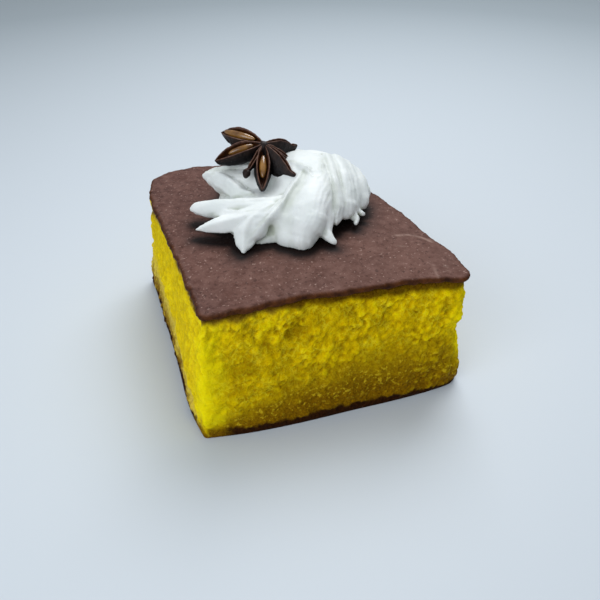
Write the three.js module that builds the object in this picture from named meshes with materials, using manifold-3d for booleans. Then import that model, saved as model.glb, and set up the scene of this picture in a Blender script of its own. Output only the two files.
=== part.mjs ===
// A square of sponge cake with a browned skin, a piped swirl of cream and a star anise on top.
// Millimetres, +Z up, +X along the front face, +Y to the back.
import * as THREE from "three";
import { mergeVertices } from "three/addons/utils/BufferGeometryUtils.js";
import Module from "manifold-3d";

const wasm = await Module();
wasm.setup();

// ---- sizes -------------------------------------------------------------------------------
const CAKE_HEIGHT = 40;
const SKIN_THICKNESS = 1.9; // the browned skin, which stands out over the crumb
const BASE_THICKNESS = 1.8; // the darker base layer
const PERIMETER_POINTS = 98;
const GAP = 0.3; // between touching solids

// The edge of the browned skin, seen from above, one row of waypoints a side.
const TOP_EDGE = {
  front: [[4.0, 3.6], [13.7, 3.5], [28.9, 3.6], [41.7, 2.0], [55.1, 1.0], [65.7, -0.9], [72.2, -3.0]],
  right: [[74.9, -0.8], [74.7, 11], [72.9, 19.5], [72.5, 28.5], [71.2, 37], [68.6, 49.2], [66.6, 66], [65, 80]],
  back: [[62.5, 83.2], [45, 83.6], [24.9, 83.4], [18.8, 84.9], [13.8, 84.6], [7.8, 83.4]],
  left: [[2.8, 79.4], [1.2, 72], [0.8, 63], [1.9, 44.4], [2.7, 30.1], [3.3, 17], [3.7, 8]],
};
// The edge of the base, which is wider than the top on every side.
const BASE_EDGE = {
  front: [[0, 0], [12.4, -2.1], [26.6, -3.3], [41.6, -3.8], [57.2, -4.4], [68, -4.3], [75.2, -3.4]],
  right: [[77.6, -1.2], [77.4, 11], [76.8, 20], [76.4, 29], [75.4, 38], [74, 50], [71.8, 67], [70.4, 81]],
  back: [[68, 84.4], [48, 85.4], [27, 85.2], [19, 84.6], [11, 83.4], [3, 81.6]],
  left: [[-3.6, 78.5], [-3, 71.3], [-2.7, 62], [-2.2, 44], [-2, 30], [-2.1, 16.6], [-1.5, 8.3]],
};
// How far the crumb is set back under the skin on each side.
const SET_BACK = { front: 0.7, right: 1.5, back: 0.6, left: 0.4 };

// Coarse crumb: relief of two sizes, in mm, with the spacing of its lumps.
const CRUMB = [{ spacing: 6.5, depth: 0.55 }, { spacing: 3.2, depth: 0.6 }];
// Lumps and hollows that stand apart from the even crumb: centre, reach and height.
const LUMPS = [
  { at: [-0.5, 62, 35], reach: 5, height: 1.5 },
  { at: [-0.5, 76, 34], reach: 4, height: 1.3 },
  { at: [77, -3.4, 2.6], reach: 3.2, height: 1.3 },
  { at: [75.5, -2.5, 22], reach: 7, height: -1.0 },
  { at: [74, -2.5, 33], reach: 4, height: 0.7 },
  { at: [60, -3.6, 9], reach: 8, height: 0.7 },
  { at: [38, -2.6, 6], reach: 9, height: 0.6 },
];
// Air pockets in the front face: centre and half-axes.
const POCKETS = [
  { at: [26.5, 1.6, 30.9], size: [2.4, 2.6, 1.3] },
  { at: [51.5, 0.4, 35.8], size: [1.3, 1.5, 0.6] },
];

const CREAM_BASE = CAKE_HEIGHT + GAP;
const CREAM_CELL = 1.9; // spacing of the net that the cream's field is drawn on
// The mass under the ridges: centre and half-axes.
const CREAM_MOUNDS = [
  { at: [38, 52, 40], size: [22, 21, 12.5] },
  { at: [44.5, 49, 41], size: [17, 18, 12.4] },
];
// Ridges left by the star nozzle: each a run of [x, y, z, radius], from the top of the swirl to its tip.
const RIDGES = {
  backLeftWedge: [[33.1, 48.7, 47.4, 4.2], [27.6, 55.8, 48, 4], [21.2, 60.2, 47.6, 2.8], [18, 62.6, 47.4, 1.4]],
  backLeftFlank: [[31.6, 46, 45.6, 4], [25.8, 52.1, 45.4, 3.8], [21.2, 57.2, 44.6, 3], [19.2, 60, 44.8, 1.8]],
  leftBullet: [[32.5, 38.7, 45.3, 4.2], [25.5, 42.3, 45.6, 4], [18.1, 46.6, 44.8, 3.4], [13.3, 49.1, 44, 2.8],
    [11.4, 49.9, 43.7, 2.3]],
  leftWedge: [[30.3, 33.4, 45, 4.2], [23.7, 36.1, 44.6, 3.8], [18.5, 37.6, 43.8, 3.2], [13.6, 37.1, 43.2, 2.3],
    [10.2, 36.6, 42.6, 1.4]],
  frontWedge: [[29.5, 36.6, 45, 4.2], [23.6, 33.3, 44.4, 3.6], [21, 30.4, 43.2, 2.6], [20.6, 27.2, 42.1, 1.6]],
  frontRecess: [[32, 32.2, 45, 4.2], [27.2, 29.9, 43.4, 3]],
  centreLobe: [[50.4, 46.7, 48.2, 6.6], [43.4, 38.4, 48.4, 7.1], [37.4, 31.7, 47.8, 7.6], [35, 28, 45.8, 7],
    [34.8, 25.1, 44.2, 5.1]],
  rightGrooveA: [[54.2, 47, 49, 4.3], [49.7, 35.6, 48.7, 4.4], [46.3, 28.7, 46.8, 4], [44.8, 25, 44, 3],
    [45.3, 21.2, 42.3, 1.5]],
  rightGrooveB: [[57.4, 47, 48.2, 4.1], [54.4, 37.7, 48, 4.4], [52.1, 31.3, 46.6, 4.2], [49.9, 27.9, 44, 2.8]],
  rightGrooveC: [[58.8, 46, 46.8, 3.9], [57, 37.4, 46.6, 4.1], [54.5, 31.7, 45, 3.2]],
  rightGrooveD: [[59.8, 43, 45, 3.6], [58.5, 37.4, 44.8, 3.4], [57, 34.3, 43.5, 2.4]],
  rightDrop: [[54, 31.6, 43.5, 2.6], [56.3, 30.3, 42.6, 1.6], [59.2, 30.5, 42.3, 1.3]],
  underDrop: [[49.8, 28.2, 43.5, 2.6], [52, 27.4, 42.2, 1.7], [54, 28.2, 41.8, 1.4]],
};
// The ridges of the far side, which carry the swirl on round: the angle of each about the swirl's middle.
const FAR_RIDGES = {
  middle: [41, 51],
  angles: [-8, 16, 40, 64, 88, 112, 136],
  reach: 22.5,
  lift: 8.2,
  twist: 26,
};
const RIDGE_MELT = 0.55; // how far neighbouring ridges melt together

const STAR_CENTRE = [34.8, 53.4, 58.7];
const STAR_TURN = -19; // degrees about +Z, of the directions below
// Carpels: direction (x right, y away, z up), length, depth, half-width, half-opening, roll in degrees.
// Some hold a seed. One never filled out: it is a stalk with a knob.
const CARPELS = [
  { aim: [-0.865, 0.5, 0.02], length: 15.6, depth: 7, width: 2.8, open: 1.7, roll: -24, hump: 2, seed: true },
  { aim: [-0.95, -0.2, -0.26], length: 15.4, depth: 5.6, width: 2.7, open: 1.6, roll: -14, hump: 1.8, seed: true },
  { aim: [-0.36, -0.69, -0.36], length: 11.8, depth: 2, width: 0.9, open: 0.2, roll: 0, hump: 0, knob: 1.3 },
  { aim: [0, -0.86, -0.5], length: 16, depth: 5.2, width: 2.7, open: 1.6, roll: 0, hump: 1, seed: true },
  { aim: [0.625, -0.66, -0.44], length: 14.9, depth: 6.4, width: 2.3, open: 0.4, roll: -14, hump: 1.8 },
  { aim: [0.64, -0.04, -0.5], length: 12.6, depth: 5.2, width: 2.1, open: 0.3, roll: 0, hump: 1.4 },
  { aim: [0.577, 0.47, -0.3], length: 13.4, depth: 5.6, width: 2.3, open: 0.4, roll: 0, hump: 2 },
  { aim: [0.05, 0.79, -0.62], length: 12.5, depth: 5.2, width: 2.2, open: 0.4, roll: 0, hump: 1.2 },
];
const STAR_AXIS = [0.08, -0.22, 0.97]; // the way the lips face
const CARPEL_SECTIONS = 8;

// ---- small tools -------------------------------------------------------------------------
const mix = (a, b, t) => a + (b - a) * t;
const clamp = (x, low, high) => Math.min(high, Math.max(low, x));
const ease = (x) => x * x * (3 - 2 * x);

function latticeValue(i, j, k, seed) {
  let h = Math.imul(i, 374761393) ^ Math.imul(j, 668265263) ^ Math.imul(k, 1274126177) ^ Math.imul(seed, 69069);
  h = Math.imul(h ^ (h >>> 13), 1103515245);
  return ((h ^ (h >>> 16)) >>> 0) / 4294967295;
}

// Smooth noise from -1 to 1.
function noise(x, y, z, seed) {
  const [i, j, k] = [x, y, z].map(Math.floor);
  const [u, v, w] = [x - i, y - j, z - k].map(ease);
  const value = (di, dj, dk) => latticeValue(i + di, j + dj, k + dk, seed);
  const row = (dj, dk) => mix(value(0, dj, dk), value(1, dj, dk), u);
  return 2 * mix(mix(row(0, 0), row(1, 0), v), mix(row(0, 1), row(1, 1), v), w) - 1;
}

// A closed solid from points and faces, turned to face out.
function closedSolid(points, faces) {
  let volume = 0;
  for (const face of faces) {
    const [p, q, r] = face.map((n) => new THREE.Vector3(...points[n]));
    volume += p.dot(q.cross(r));
  }
  const turned = volume < 0 ? faces.map(([a, b, c]) => [a, c, b]) : faces;
  const mesh = new wasm.Mesh({
    numProp: 3,
    vertProperties: new Float32Array(points.flat()),
    triVerts: new Uint32Array(turned.flat()),
  });
  return new wasm.Manifold(mesh);
}

// A solid from one of three's own closed geometries.
function solidOf(geometry) {
  geometry.deleteAttribute("normal");
  geometry.deleteAttribute("uv");
  const merged = mergeVertices(geometry, 1e-4);
  const mesh = new wasm.Mesh({
    numProp: 3,
    vertProperties: new Float32Array(merged.attributes.position.array),
    triVerts: new Uint32Array(merged.index.array),
  });
  return new wasm.Manifold(mesh);
}

function ellipsoid(at, size, around, down) {
  return solidOf(new THREE.SphereGeometry(1, around, down).scale(...size).translate(...at));
}

function namedMesh(name, solid, color, roughness) {
  const made = solid.getMesh();
  const geometry = new THREE.BufferGeometry();
  geometry.setAttribute("position", new THREE.BufferAttribute(Float32Array.from(made.vertProperties), 3));
  geometry.setIndex(new THREE.BufferAttribute(Uint32Array.from(made.triVerts), 1));
  geometry.computeVertexNormals();
  const mesh = new THREE.Mesh(geometry, new THREE.MeshStandardMaterial({ color, roughness }));
  mesh.name = name;
  return mesh;
}

// ---- sponge ------------------------------------------------------------------------------
// An outline as evenly spaced points: the waypoints of the four sides, rounded a little where they meet.
function outlineOf(sides) {
  const share = { front: 0.235, right: 0.265, back: 0.235, left: 0.265 };
  const names = Object.keys(sides);
  return names.flatMap((name, s) => {
    const next = sides[names[(s + 1) % names.length]][0];
    const run = [...sides[name], next].map(([x, y]) => new THREE.Vector3(x, y, 0));
    const count = Math.round(share[name] * PERIMETER_POINTS);
    const points = new THREE.CatmullRomCurve3(run, false, "centripetal").getSpacedPoints(count);
    return points.slice(0, -1).map((p) => ({ x: p.x, y: p.y, side: name }));
  });
}

function outwardNormal(ring, i) {
  const n = ring.length;
  const before = ring[(i + n - 1) % n];
  const after = ring[(i + 1) % n];
  const length = Math.hypot(after.x - before.x, after.y - before.y);
  return [(after.y - before.y) / length, (before.x - after.x) / length];
}

// How far the side face stands out at a height: a rounded foot, the crumb, and the skin's thin shelf.
function sideOffset(z, side) {
  const underSkin = CAKE_HEIGHT - SKIN_THICKNESS;
  if (z > CAKE_HEIGHT - 0.01) return -0.7;
  if (z > underSkin + 0.2) return 0;
  const foot = z < BASE_THICKNESS ? -0.9 * (1 - z / BASE_THICKNESS) ** 2 : 0;
  return foot - SET_BACK[side] * ease(clamp((z - 20) / (underSkin - 20), 0, 1));
}

function crumbRelief(x, y, z) {
  const fade = clamp((z - 0.8) / 2, 0, 1) * clamp((CAKE_HEIGHT - SKIN_THICKNESS + 0.1 - z) / 0.8, 0, 1);
  let relief = 0;
  CRUMB.forEach(({ spacing, depth }, k) => {
    relief += depth * noise(x / spacing, y / spacing, z / spacing, 11 + k);
  });
  LUMPS.forEach(({ at, reach, height }) => {
    const away = Math.hypot(x - at[0], y - at[1], z - at[2]) / reach;
    relief += height * Math.exp(-3 * away * away);
  });
  return relief * fade;
}

// The browned skin is nearly flat, and dips a little towards its edges.
function skinHeight(x, y, inward) {
  const waves = 0.12 * noise(x / 14, y / 14, 0.5, 31) + 0.06 * noise(x / 5, y / 5, 2.5, 32);
  return CAKE_HEIGHT - 0.2 + waves - 0.35 * (1 - clamp(inward / 5, 0, 1)) ** 2;
}

function buildSponge() {
  const top = outlineOf(TOP_EDGE);
  const base = outlineOf(BASE_EDGE);
  const count = top.length;
  const shelf = CAKE_HEIGHT - SKIN_THICKNESS;
  const levels = [0, 0.5, 1.3, 2.4];
  while (levels.at(-1) < shelf - 3) levels.push(levels.at(-1) + 2.15);
  levels.push(shelf - 0.3, shelf + 0.3, CAKE_HEIGHT - 0.9);
  const points = [];
  for (const z of levels) {
    const ring = top.map((p, i) => {
      const t = z / CAKE_HEIGHT;
      return { x: mix(base[i].x, p.x, t), y: mix(base[i].y, p.y, t), side: p.side };
    });
    ring.forEach((p, i) => {
      const [nx, ny] = outwardNormal(ring, i);
      const inSkin = z > shelf ? 0.25 * noise(p.x / 3, p.y / 3, z / 3, 21) : 0;
      const out = sideOffset(z, p.side) + crumbRelief(p.x, p.y, z) + inSkin;
      points.push([p.x + nx * out, p.y + ny * out, z]);
    });
  }
  const middle = [36, 40];
  const shrinks = [0.986, 0.955, 0.88, 0.72, 0.48, 0.22];
  for (const shrink of shrinks) {
    top.forEach((p) => {
      const x = mix(middle[0], p.x, shrink);
      const y = mix(middle[1], p.y, shrink);
      points.push([x, y, skinHeight(x, y, (1 - shrink) * 38)]);
    });
  }
  const faces = [];
  const rings = levels.length + shrinks.length;
  for (let k = 0; k + 1 < rings; k++)
    for (let i = 0; i < count; i++) {
      const j = (i + 1) % count;
      const [a, b, c, d] = [k * count + i, k * count + j, (k + 1) * count + j, (k + 1) * count + i];
      faces.push([a, b, c], [a, c, d]);
    }
  const foot = points.push([...middle, 0]) - 1;
  const crown = points.push([...middle, skinHeight(...middle, 40)]) - 1;
  for (let i = 0; i < count; i++) {
    const j = (i + 1) % count;
    faces.push([foot, j, i], [crown, (rings - 1) * count + i, (rings - 1) * count + j]);
  }
  let sponge = closedSolid(points, faces);
  for (const { at, size } of POCKETS) sponge = sponge.subtract(ellipsoid(at, size, 14, 10));
  return sponge;
}

// ---- cream -------------------------------------------------------------------------------
// The ridges of the far side, leaning round in the sense of the swirl.
function farRidges() {
  const { middle, angles, reach, lift, twist } = FAR_RIDGES;
  const turned = (degrees, r, z, radius) => {
    const a = THREE.MathUtils.degToRad(degrees);
    return [middle[0] + r * Math.cos(a), middle[1] + r * Math.sin(a), CREAM_BASE + z, radius];
  };
  return angles.map((angle) => [
    turned(angle + twist, 5, lift + 2, 4.5),
    turned(angle + twist * 0.6, reach * 0.55, lift - 0.5, 4.6),
    turned(angle + twist * 0.2, reach * 0.85, lift - 4.5, 3.8),
    turned(angle, reach, 2.2, 1.8),
  ]);
}

// Each ridge as a chain of short round cones.
function conesOf(run) {
  const line = run.map(([x, y, z]) => new THREE.Vector3(x, y, z));
  const curve = new THREE.CatmullRomCurve3(line, false, "centripetal");
  const steps = 4 * (run.length - 1);
  const radiusAt = (t) => {
    const s = clamp(t * (run.length - 1), 0, run.length - 1.000001);
    const i = Math.floor(s);
    return mix(run[i][3], run[i + 1][3], s - i);
  };
  return Array.from({ length: steps }, (_, i) => ({
    a: curve.getPoint(i / steps).toArray(),
    b: curve.getPoint((i + 1) / steps).toArray(),
    ra: radiusAt(i / steps),
    rb: radiusAt((i + 1) / steps),
  }));
}

function coneDistance(p, { a, b, ra, rb }) {
  const ab = [b[0] - a[0], b[1] - a[1], b[2] - a[2]];
  const ap = [p[0] - a[0], p[1] - a[1], p[2] - a[2]];
  const along = ab[0] * ab[0] + ab[1] * ab[1] + ab[2] * ab[2];
  const t = clamp((ap[0] * ab[0] + ap[1] * ab[1] + ap[2] * ab[2]) / along, 0, 1);
  return Math.hypot(ap[0] - t * ab[0], ap[1] - t * ab[1], ap[2] - t * ab[2]) - mix(ra, rb, t);
}

function moundDistance(p, { at, size }) {
  const q = p.map((v, k) => (v - at[k]) / size[k]);
  return (Math.hypot(...q) - 1) * Math.min(...size);
}

function meltedMin(a, b, melt) {
  const h = Math.max(melt - Math.abs(a - b), 0) / melt;
  return Math.min(a, b) - (h * h * melt) / 4;
}

function creamField() {
  const ridges = [...Object.values(RIDGES), ...farRidges()].map(conesOf);
  return (p) => {
    let d = CREAM_MOUNDS.reduce((least, mound) => Math.min(least, moundDistance(p, mound)), 1e9);
    for (const ridge of ridges) {
      const near = ridge.reduce((least, cone) => Math.min(least, coneDistance(p, cone)), 1e9);
      d = meltedMin(d, near, RIDGE_MELT);
    }
    return Math.max(d, CREAM_BASE - p[2]);
  };
}

// The surface where a field is zero, as a net with one point in each cell that the surface crosses.
function netOf(field, low, high, cell) {
  const size = low.map((v, k) => Math.ceil((high[k] - v) / cell) + 1);
  const at = (i, j, k) => (k * size[1] + j) * size[0] + i;
  const values = new Float64Array(size[0] * size[1] * size[2]);
  for (let k = 0; k < size[2]; k++)
    for (let j = 0; j < size[1]; j++)
      for (let i = 0; i < size[0]; i++)
        values[at(i, j, k)] = field([low[0] + i * cell, low[1] + j * cell, low[2] + k * cell]) || 1e-6;
  clearDiagonals(values, size, at);
  const steps = [at(1, 0, 0), at(0, 1, 0), at(0, 0, 1)];
  const corners = Array.from({ length: 8 }, (_, c) => [c & 1, (c >> 1) & 1, c >> 2]);
  const pointOf = new Map();
  const points = [];
  for (let k = 0; k + 1 < size[2]; k++)
    for (let j = 0; j + 1 < size[1]; j++)
      for (let i = 0; i + 1 < size[0]; i++) {
        const found = cellPoint(values, corners, at, [i, j, k]);
        if (found) pointOf.set(at(i, j, k), points.push(found.map((v, n) => low[n] + v * cell)) - 1);
      }
  const faces = [];
  for (let k = 1; k + 1 < size[2]; k++)
    for (let j = 1; j + 1 < size[1]; j++)
      for (let i = 1; i + 1 < size[0]; i++) {
        const here = at(i, j, k);
        for (let axis = 0; axis < 3; axis++) {
          const inside = values[here] < 0;
          if (inside === values[here + steps[axis]] < 0) continue;
          const [u, v] = [steps[(axis + 1) % 3], steps[(axis + 2) % 3]];
          const [a, b, c, d] = [here, here - u, here - u - v, here - v].map((n) => pointOf.get(n));
          faces.push(...(inside ? [[a, b, c], [a, c, d]] : [[a, c, b], [a, d, c]]));
        }
      }
  return closedSolid(points, faces);
}

// Fills the odd lattice point so that no square of the lattice has its inside points on one diagonal only.
function clearDiagonals(values, size, at) {
  const pairs = [[[1, 0, 0], [0, 1, 0]], [[0, 1, 0], [0, 0, 1]], [[1, 0, 0], [0, 0, 1]]];
  for (let found = true, round = 0; found && round < 20; round++) {
    found = false;
    for (let k = 0; k + 1 < size[2]; k++)
      for (let j = 0; j + 1 < size[1]; j++)
        for (let i = 0; i + 1 < size[0]; i++)
          for (const [u, v] of pairs) {
            const square = [
              at(i, j, k),
              at(i + u[0], j + u[1], k + u[2]),
              at(i + u[0] + v[0], j + u[1] + v[1], k + u[2] + v[2]),
              at(i + v[0], j + v[1], k + v[2]),
            ];
            const [a, b, c, d] = square.map((n) => values[n] < 0);
            if (a !== c || b !== d || a === b) continue;
            const outside = square.filter((n) => values[n] >= 0);
            values[outside.reduce((x, y) => (values[x] < values[y] ? x : y))] = -1e-3;
            found = true;
          }
  }
}

function cellPoint(values, corners, at, [i, j, k]) {
  const sum = [0, 0, 0];
  let crossings = 0;
  for (let a = 0; a < 8; a++)
    for (let bit = 1; bit < 8; bit <<= 1) {
      if (a & bit) continue;
      const [p, q] = [corners[a], corners[a | bit]];
      const va = values[at(i + p[0], j + p[1], k + p[2])];
      const vb = values[at(i + q[0], j + q[1], k + q[2])];
      if (va < 0 === vb < 0) continue;
      const t = clamp(va / (va - vb), 0.03, 0.97);
      p.forEach((v, n) => {
        sum[n] += mix(v, q[n], t);
      });
      crossings++;
    }
  return crossings ? [i, j, k].map((v, n) => v + sum[n] / crossings) : null;
}

// ---- star anise --------------------------------------------------------------------------
function carpelAxes({ aim, roll }) {
  const turn = new THREE.Matrix4().makeRotationZ(THREE.MathUtils.degToRad(STAR_TURN));
  const along = new THREE.Vector3(...aim).normalize();
  const lips = new THREE.Vector3(...STAR_AXIS);
  lips.addScaledVector(along, -along.dot(lips));
  lips.normalize().applyAxisAngle(along, THREE.MathUtils.degToRad(roll));
  const across = new THREE.Vector3().crossVectors(along, lips);
  return [along, across, lips].map((v) => v.applyMatrix4(turn));
}

// A boat-shaped follicle: keel below, two thin lips above, pointed at both ends.
function carpel(spec, grow = 0) {
  const { length, depth, width, open, hump } = spec;
  const [along, across, lips] = carpelAxes(spec);
  const place = (u, v, w) => {
    const p = new THREE.Vector3(...STAR_CENTRE).addScaledVector(along, u);
    return p.addScaledVector(across, v).addScaledVector(lips, w).toArray();
  };
  const rise = (t) => hump * Math.sin(Math.PI * t) - 0.3 * t * t;
  const points = [place(-0.6 - grow, 0, -1)];
  for (let s = 1; s <= CARPEL_SECTIONS; s++) {
    const t = s / (CARPEL_SECTIONS + 1);
    const belly = Math.sin(Math.PI * t ** 0.85) ** 0.75;
    const w = width * belly + grow;
    const d = depth * belly ** 0.62 + 2 * grow;
    const o = grow ? w * 0.6 : open * Math.sin(Math.PI * clamp(t * 1.1 - 0.05, 0, 1)) ** 0.8 + 0.12;
    const g = grow ? 0.1 : Math.min(0.62 * d, 0.35 + 1.5 * o);
    const top = rise(t) + grow;
    const half = [[o, 0], [Math.max(0.84 * w, o * 1.08), -0.24 * d], [w, -0.5 * d], [0.66 * w, -0.82 * d]];
    const inner = [[0.72 * o, -0.3 * g], [0.45 * o, -0.85 * g]];
    half.forEach(([a, b]) => points.push(place(t * length, -a, top + b)));
    points.push(place(t * length, 0, top - d));
    half.toReversed().forEach(([a, b]) => points.push(place(t * length, a, top + b)));
    inner.forEach(([a, b]) => points.push(place(t * length, a, top + b)));
    points.push(place(t * length, 0, top - g));
    inner.toReversed().forEach(([a, b]) => points.push(place(t * length, -a, top + b)));
  }
  const tip = points.push(place(length + grow, 0, rise(1))) - 1;
  const n = 14;
  const faces = [];
  for (let i = 0; i < n; i++) {
    const j = (i + 1) % n;
    faces.push([0, 1 + j, 1 + i]);
    for (let s = 0; s + 1 < CARPEL_SECTIONS; s++) {
      const [a, b] = [1 + s * n + i, 1 + s * n + j];
      faces.push([a, b, b + n], [a, b + n, a + n]);
    }
    faces.push([tip, tip - n + i, tip - n + j]);
  }
  return closedSolid(points, faces);
}

// The glossy seed that lies in an open follicle, sunk to half its depth.
function seedIn(spec) {
  const [along, across, lips] = carpelAxes(spec);
  const shape = new THREE.SphereGeometry(1, 10, 7).scale(0.23 * spec.length, 0.86 * spec.open, 1.7);
  const frame = new THREE.Matrix4().makeBasis(along, across, lips);
  const at = new THREE.Vector3(...STAR_CENTRE).addScaledVector(along, 0.52 * spec.length);
  at.addScaledVector(lips, spec.hump - 1.5);
  if (frame.determinant() < 0) frame.makeBasis(along, across.negate(), lips);
  return solidOf(shape.applyMatrix4(frame.setPosition(at)));
}

function knobOf(spec, grow) {
  const [along] = carpelAxes(spec);
  const at = new THREE.Vector3(...STAR_CENTRE).addScaledVector(along, spec.length - 0.6).toArray();
  at[2] -= 0.6;
  const r = spec.knob + grow;
  return ellipsoid(at, [r, r, r], 8, 6);
}

function buildStar(grow = 0) {
  const [x, y, z] = STAR_CENTRE;
  const core = ellipsoid([x, y, z - 1.6], [1.7, 1.7, 2.2].map((v) => v + grow), 12, 8);
  let star = CARPELS.reduce((joined, spec) => joined.add(carpel(spec, grow)), core);
  for (const spec of CARPELS.filter((c) => c.knob)) star = star.add(knobOf(spec, grow));
  if (!grow) for (const spec of CARPELS.filter((c) => c.seed)) star = star.add(seedIn(spec));
  return star;
}

// ---- the whole ---------------------------------------------------------------------------
const sponge = buildSponge();
const star = buildStar();
const creamNet = netOf(creamField(), [4, 12, CREAM_BASE - 2.4], [72, 84, 62], CREAM_CELL);
const cream = creamNet.subtract(buildStar(GAP));

const group = new THREE.Group();
group.add(namedMesh("sponge", sponge, 0xc8a60c, 0.9));
group.add(namedMesh("cream", cream, 0xf2f1ec, 0.5));
group.add(namedMesh("star_anise", star, 0x3a1c12, 0.55));

// The row frame: the middle of the box that holds everything, at its underside.
const box = new THREE.Box3().setFromObject(group, true);
const shift = box.getCenter(new THREE.Vector3()).setZ(box.min.z).negate();
group.children.forEach((mesh) => mesh.geometry.translate(shift.x, shift.y, shift.z));

export default group;
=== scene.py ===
import math

import bpy
import numpy as np
from mathutils import Matrix, Vector
from mathutils.kdtree import KDTree


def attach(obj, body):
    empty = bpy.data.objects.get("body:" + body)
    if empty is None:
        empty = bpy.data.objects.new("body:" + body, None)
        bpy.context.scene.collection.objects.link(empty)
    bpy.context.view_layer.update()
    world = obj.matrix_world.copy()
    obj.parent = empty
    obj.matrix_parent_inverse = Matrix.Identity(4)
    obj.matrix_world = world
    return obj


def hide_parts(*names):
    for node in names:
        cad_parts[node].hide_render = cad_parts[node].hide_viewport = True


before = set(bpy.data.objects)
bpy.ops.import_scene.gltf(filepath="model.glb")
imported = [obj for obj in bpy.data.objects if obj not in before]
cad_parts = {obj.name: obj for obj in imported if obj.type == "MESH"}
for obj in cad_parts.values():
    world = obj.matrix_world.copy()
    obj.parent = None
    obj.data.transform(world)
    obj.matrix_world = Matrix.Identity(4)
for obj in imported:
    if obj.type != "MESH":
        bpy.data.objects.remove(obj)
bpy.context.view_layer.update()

# Everything below is in millimetres in the slice's own frame, whose origin is the front left corner of the base.
# MIDDLE is where the row frame's origin lies in it.
MIDDLE = np.array([37.2012, 40.4740, 0.0])
MM = 0.001


def srgb(r, g, b):
    """An sRGB colour of 0-255 as linear RGBA."""
    c = np.array([r, g, b]) / 255
    c = np.where(c <= 0.04045, c / 12.92, ((c + 0.055) / 1.055) ** 2.4)
    return (*c, 1)


# ---- camera and light ----------------------------------------------------------------------
CAMERA_AT = np.array([-8.01, -103.76, 128.03])
CAMERA_HEADING = math.radians(-19)
CAMERA_PITCH = math.radians(38.24)
LENS = 34.8

camera = bpy.data.objects.new("camera", bpy.data.cameras.new("camera"))
bpy.context.scene.collection.objects.link(camera)
camera.data.lens = LENS
camera.data.sensor_width = 36
camera.data.clip_start = 0.005
camera.location = Vector((CAMERA_AT - MIDDLE) * MM)
camera.rotation_euler = (math.pi / 2 - CAMERA_PITCH, 0, CAMERA_HEADING)
bpy.context.scene.camera = camera
bpy.context.scene.view_settings.view_transform = "Standard"

world = bpy.data.worlds.new("studio")
bpy.context.scene.world = world
world.use_nodes = True
world.node_tree.nodes["Background"].inputs["Color"].default_value = srgb(228, 235, 241)
world.node_tree.nodes["Background"].inputs["Strength"].default_value = 0.52


def area_light(name, at, size, power, color):
    data = bpy.data.lights.new(name, "AREA")
    data.energy = power
    data.size = size
    data.color = color[:3]
    light = bpy.data.objects.new(name, data)
    bpy.context.scene.collection.objects.link(light)
    light.location = at
    light.rotation_euler = (-Vector(at)).to_track_quat("-Z", "Y").to_euler()
    return light


area_light("key", (0.22, 0.30, 0.56), 0.42, 3.1, srgb(250, 252, 255))
area_light("left", (-0.42, -0.28, 0.30), 0.45, 1.6, srgb(246, 249, 255))


# ---- meshes --------------------------------------------------------------------------------
def make_piece(name, points, faces, material, masks=None, smooth=True):
    """A mesh object from points in mm in the slice's frame, and an array of triangles or quads."""
    mesh = bpy.data.meshes.new(name)
    points = (np.asarray(points, float) - MIDDLE) * MM
    faces = np.asarray(faces, np.int32)
    width = faces.shape[1]
    mesh.vertices.add(len(points))
    mesh.vertices.foreach_set("co", points.astype(np.float32).ravel())
    mesh.loops.add(faces.size)
    mesh.loops.foreach_set("vertex_index", faces.ravel())
    mesh.polygons.add(len(faces))
    mesh.polygons.foreach_set("loop_start", np.arange(0, faces.size, width, dtype=np.int32))
    mesh.update(calc_edges=True)
    mesh.validate()
    mesh.polygons.foreach_set("use_smooth", np.full(len(mesh.polygons), smooth))
    for mask, values in (masks or {}).items():
        attribute = mesh.attributes.new(mask, "FLOAT", "POINT")
        attribute.data.foreach_set("value", np.asarray(values, np.float32))
    mesh.materials.append(material)
    piece = bpy.data.objects.new(name, mesh)
    bpy.context.scene.collection.objects.link(piece)
    return piece


# ---- noise ---------------------------------------------------------------------------------
def lattice(i, j, k, seed):
    h = (i.astype(np.uint32) * np.uint32(374761393)) ^ (j.astype(np.uint32) * np.uint32(668265263))
    h = h ^ (k.astype(np.uint32) * np.uint32(1274126177)) ^ np.uint32((seed * 69069) & 0xFFFFFFFF)
    h = (h ^ (h >> np.uint32(13))) * np.uint32(1103515245)
    return (h ^ (h >> np.uint32(16))).astype(float) / 4294967296


def noise(p, spacing, seed):
    """Smooth noise from -1 to 1, the same as in the part's source."""
    q = np.asarray(p) / spacing
    cell = np.floor(q).astype(np.int64)
    u, v, w = ((q - cell) ** 2 * (3 - 2 * (q - cell))).T
    i, j, k = cell.T

    def row(dj, dk):
        a, b = lattice(i, j + dj, k + dk, seed), lattice(i + 1, j + dj, k + dk, seed)
        return a + (b - a) * u

    low = row(0, 0) + (row(1, 0) - row(0, 0)) * v
    high = row(0, 1) + (row(1, 1) - row(0, 1)) * v
    return 2 * (low + (high - low) * w) - 1


def cells(p, spacing, seed):
    """Distance to the nearest and the second nearest of scattered points, and the nearest one's own number."""
    q = np.asarray(p) / spacing
    cell = np.floor(q).astype(np.int64)
    first = np.full(len(q), 9.0)
    second = np.full(len(q), 9.0)
    own = np.zeros(len(q))
    for di in (-1, 0, 1):
        for dj in (-1, 0, 1):
            for dk in (-1, 0, 1):
                i, j, k = (cell + (di, dj, dk)).T
                at = np.stack([c + lattice(i, j, k, seed + n) for n, c in enumerate((i, j, k))], 1)
                d = np.linalg.norm(q - at, axis=1)
                nearer = d < first
                second = np.where(nearer, first, np.minimum(second, d))
                own = np.where(nearer, lattice(i, j, k, seed + 7), own)
                first = np.where(nearer, d, first)
    return first, second, own


def ease(x):
    x = np.clip(x, 0, 1)
    return x * x * (3 - 2 * x)


def mix(a, b, t):
    return a + (b - a) * t


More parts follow.
